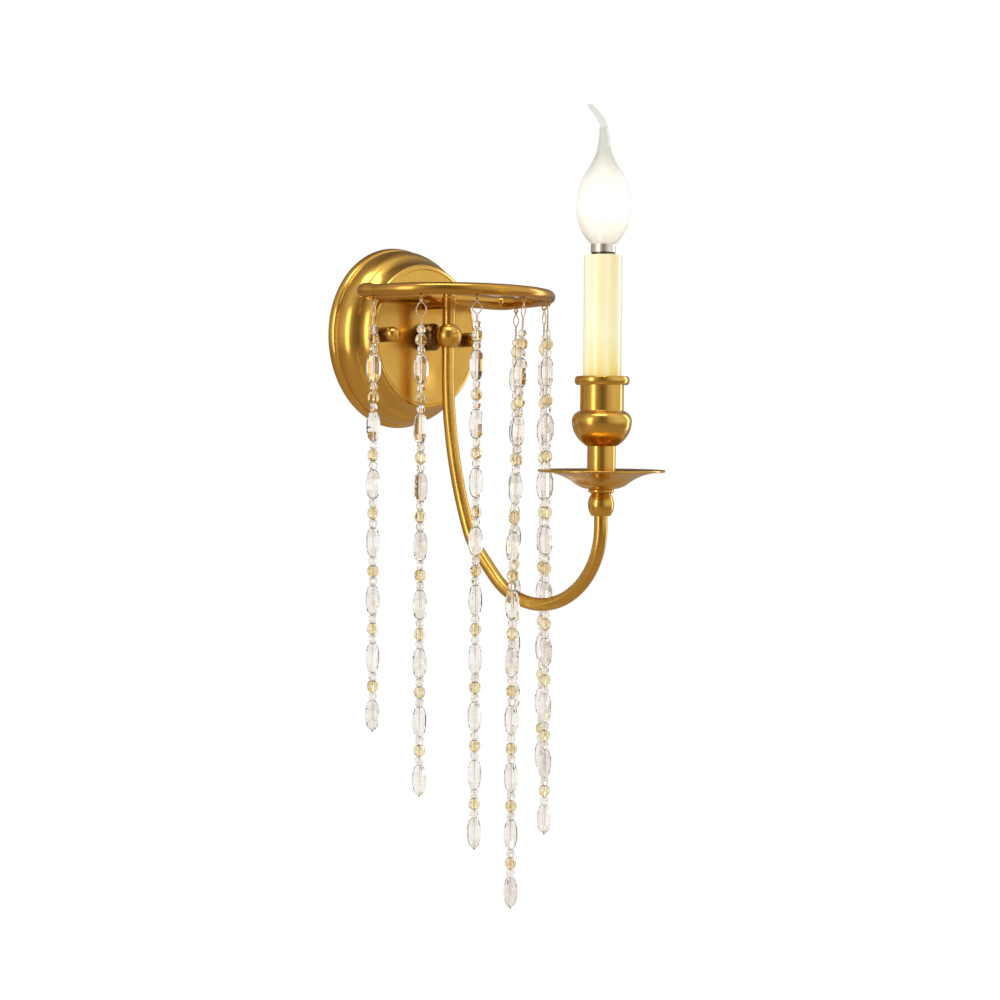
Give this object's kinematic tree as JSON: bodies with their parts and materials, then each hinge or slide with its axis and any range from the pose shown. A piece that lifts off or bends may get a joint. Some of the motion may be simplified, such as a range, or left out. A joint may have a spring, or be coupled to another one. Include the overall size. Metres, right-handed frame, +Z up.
{
  "type": "crystal wall sconce",
  "caption": "Wall sconce with a round brass canopy, a J-shaped arm with a candle lamp on a drip pan, and a half-round crown ring hung with strings of cut crystal beads.",
  "frame": {"origin": "centre of the wall bracket's back face, on the wall plane, level with the hub's axis", "axes": "+Z up, +X along the wall to the right as seen from the room, +Y into the wall; the sconce stands out towards -Y"},
  "size_m": [0.1564, 0.2413, 0.5461],
  "materials": {
    "antique_brass": "brushed and lacquered, slightly aged",
    "zinc_steel": "zinc plated",
    "green_screw": "green plated",
    "black_plastic": "gloss",
    "contact_brass": "bright",
    "nickel_cap": "nickel plated",
    "solder": "matt",
    "black_glass": "gloss",
    "clear_glass": "clear",
    "filament": "fine wire",
    "ivory_sleeve": "satin",
    "wire_insulation": "satin",
    "connector_plastic": "satin",
    "copper_wire": "bare fine wire",
    "clear_crystal": "cut and polished",
    "champagne_crystal": "cut and polished, champagne tint"
  },
  "bodies": {
    "frame": {"wall_bracket": "zinc_steel", "bracket_studs": "zinc_steel", "stud_nuts": "zinc_steel", "ground_screw": "green_screw", "canopy": "antique_brass", "lock_washer": "zinc_steel", "lock_nut": "zinc_steel", "hub_nipple": "zinc_steel", "hub_ball": "antique_brass", "neck_coupling": "antique_brass", "crown_post": "antique_brass", "crown_collar": "antique_brass", "crown_nut": "antique_brass", "ring_bridge": "antique_brass", "crown_ring": "antique_brass", "ring_eyes": "antique_brass", "arm_tube": "antique_brass", "knuckle": "antique_brass", "pan_washer": "antique_brass", "drip_pan": "antique_brass", "stem_tube": "antique_brass", "candle_cup": "antique_brass", "candle_nipple": "zinc_steel", "cup_nut": "zinc_steel", "holder_post": "zinc_steel", "holder_body": "black_plastic", "screw_shell": "contact_brass", "centre_contact": "contact_brass", "lamp_wires": "wire_insulation", "wire_connectors": "connector_plastic"},
    "lamp": {"lamp_cap": "nickel_cap", "lamp_insulator": "black_glass", "lamp_contact": "solder", "lamp_glass": "clear_glass", "lamp_mount": "clear_glass", "lamp_filament": "filament"},
    "sleeve": {"candle_sleeve": "ivory_sleeve"},
    "nut_left": {"canopy_nut_left": "antique_brass"},
    "nut_right": {"canopy_nut_right": "antique_brass"},
    "string_1": {"string_1_wire": "copper_wire", "string_1_clear_beads": "clear_crystal", "string_1_champagne_beads": "champagne_crystal"},
    "string_2": {"string_2_wire": "copper_wire", "string_2_clear_beads": "clear_crystal", "string_2_champagne_beads": "champagne_crystal"},
    "string_3": {"string_3_wire": "copper_wire", "string_3_clear_beads": "clear_crystal", "string_3_champagne_beads": "champagne_crystal"},
    "string_4": {"string_4_wire": "copper_wire", "string_4_clear_beads": "clear_crystal", "string_4_champagne_beads": "champagne_crystal"},
    "string_5": {"string_5_wire": "copper_wire", "string_5_clear_beads": "clear_crystal", "string_5_champagne_beads": "champagne_crystal"},
    "string_6": {"string_6_wire": "copper_wire", "string_6_clear_beads": "clear_crystal", "string_6_champagne_beads": "champagne_crystal"},
    "string_7": {"string_7_wire": "copper_wire", "string_7_clear_beads": "clear_crystal", "string_7_champagne_beads": "champagne_crystal"}
  },
  "joints": [
    {"name": "string_1_swing", "type": "hinge", "parent": "frame", "child": "string_1", "pos_m": [-0.073, -0.056, 0.0225], "axis": [0, 1, 0], "range_deg": [-4, 30]},
    {"name": "string_2_swing", "type": "hinge", "parent": "frame", "child": "string_2", "pos_m": [-0.06322, -0.0925, 0.0225], "axis": [-0.5, 0.866, 0], "range_deg": [-4, 30]},
    {"name": "string_3_swing", "type": "hinge", "parent": "frame", "child": "string_3", "pos_m": [-0.0365, -0.11922, 0.0225], "axis": [-0.866, 0.5, 0], "range_deg": [-4, 30]},
    {"name": "string_4_swing", "type": "hinge", "parent": "frame", "child": "string_4", "pos_m": [0, -0.129, 0.0225], "axis": [-1, 0, 0], "range_deg": [-4, 10]},
    {"name": "string_5_swing", "type": "hinge", "parent": "frame", "child": "string_5", "pos_m": [0.0365, -0.11922, 0.0225], "axis": [-0.866, -0.5, 0], "range_deg": [-4, 30]},
    {"name": "string_6_swing", "type": "hinge", "parent": "frame", "child": "string_6", "pos_m": [0.06322, -0.0925, 0.0225], "axis": [-0.5, -0.866, 0], "range_deg": [-4, 30]},
    {"name": "string_7_swing", "type": "hinge", "parent": "frame", "child": "string_7", "pos_m": [0.073, -0.056, 0.0225], "axis": [0, -1, 0], "range_deg": [-4, 30]},
    {"name": "lamp_turn", "type": "hinge", "parent": "frame", "child": "lamp", "pos_m": [0, -0.199, 0.05], "axis": [0, 0, 1], "range_deg": [0, 340]},
    {"name": "sleeve_lift", "type": "slide", "parent": "frame", "child": "sleeve", "axis": [0, 0, 1], "range_m": [0, 0.01]},
    {"name": "nut_left_turn", "type": "hinge", "parent": "frame", "child": "nut_left", "pos_m": [-0.042, -0.0345, 0], "axis": [0, -1, 0], "continuous": true},
    {"name": "nut_right_turn", "type": "hinge", "parent": "frame", "child": "nut_right", "pos_m": [0.042, -0.0345, 0], "axis": [0, -1, 0], "continuous": true}
  ]
}
